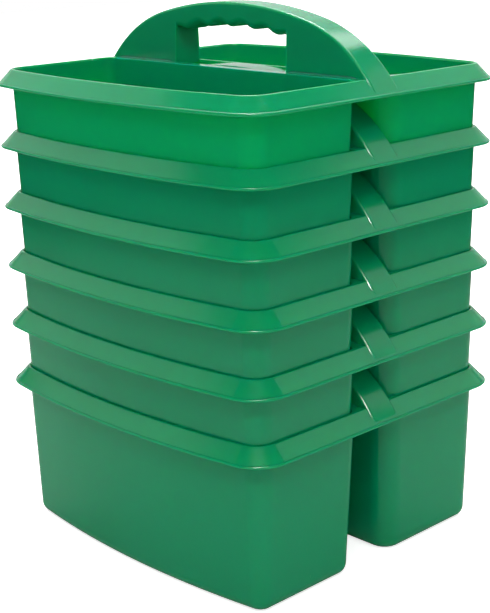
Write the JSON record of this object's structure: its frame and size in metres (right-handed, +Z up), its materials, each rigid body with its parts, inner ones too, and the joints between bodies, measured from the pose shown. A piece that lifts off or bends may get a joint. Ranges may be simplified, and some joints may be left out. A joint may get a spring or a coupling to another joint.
{
  "type": "cleaning caddy",
  "caption": "Nested stack of plastic cleaning caddies, each with an open tub on either side of an arched carry handle with finger grips.",
  "frame": {"origin": "on the floor plane, under the middle of the stack", "axes": "+Z up, +X along the handles, -Y towards the compartment with the ledge (the front)"},
  "size_m": [0.235, 0.229, 0.3295],
  "materials": {
    "green_plastic": "glossy moulded polypropylene, mid green"
  },
  "bodies": {
    "bottom": {"bottom_caddy": "green_plastic"},
    "second": {"second_caddy": "green_plastic"},
    "third": {"third_caddy": "green_plastic"},
    "fourth": {"fourth_caddy": "green_plastic"},
    "fifth": {"fifth_caddy": "green_plastic"},
    "top": {"top_caddy": "green_plastic"}
  },
  "joints": [
    {"name": "second_lift", "type": "slide", "parent": "bottom", "child": "second", "axis": [0, 0, 1], "range_m": [0, 0.11]},
    {"name": "third_lift", "type": "slide", "parent": "second", "child": "third", "axis": [0, 0, 1], "range_m": [0, 0.11]},
    {"name": "fourth_lift", "type": "slide", "parent": "third", "child": "fourth", "axis": [0, 0, 1], "range_m": [0, 0.11]},
    {"name": "fifth_lift", "type": "slide", "parent": "fourth", "child": "fifth", "axis": [0, 0, 1], "range_m": [0, 0.11]},
    {"name": "top_lift", "type": "slide", "parent": "fifth", "child": "top", "axis": [0, 0, 1], "range_m": [0, 0.11]}
  ]
}
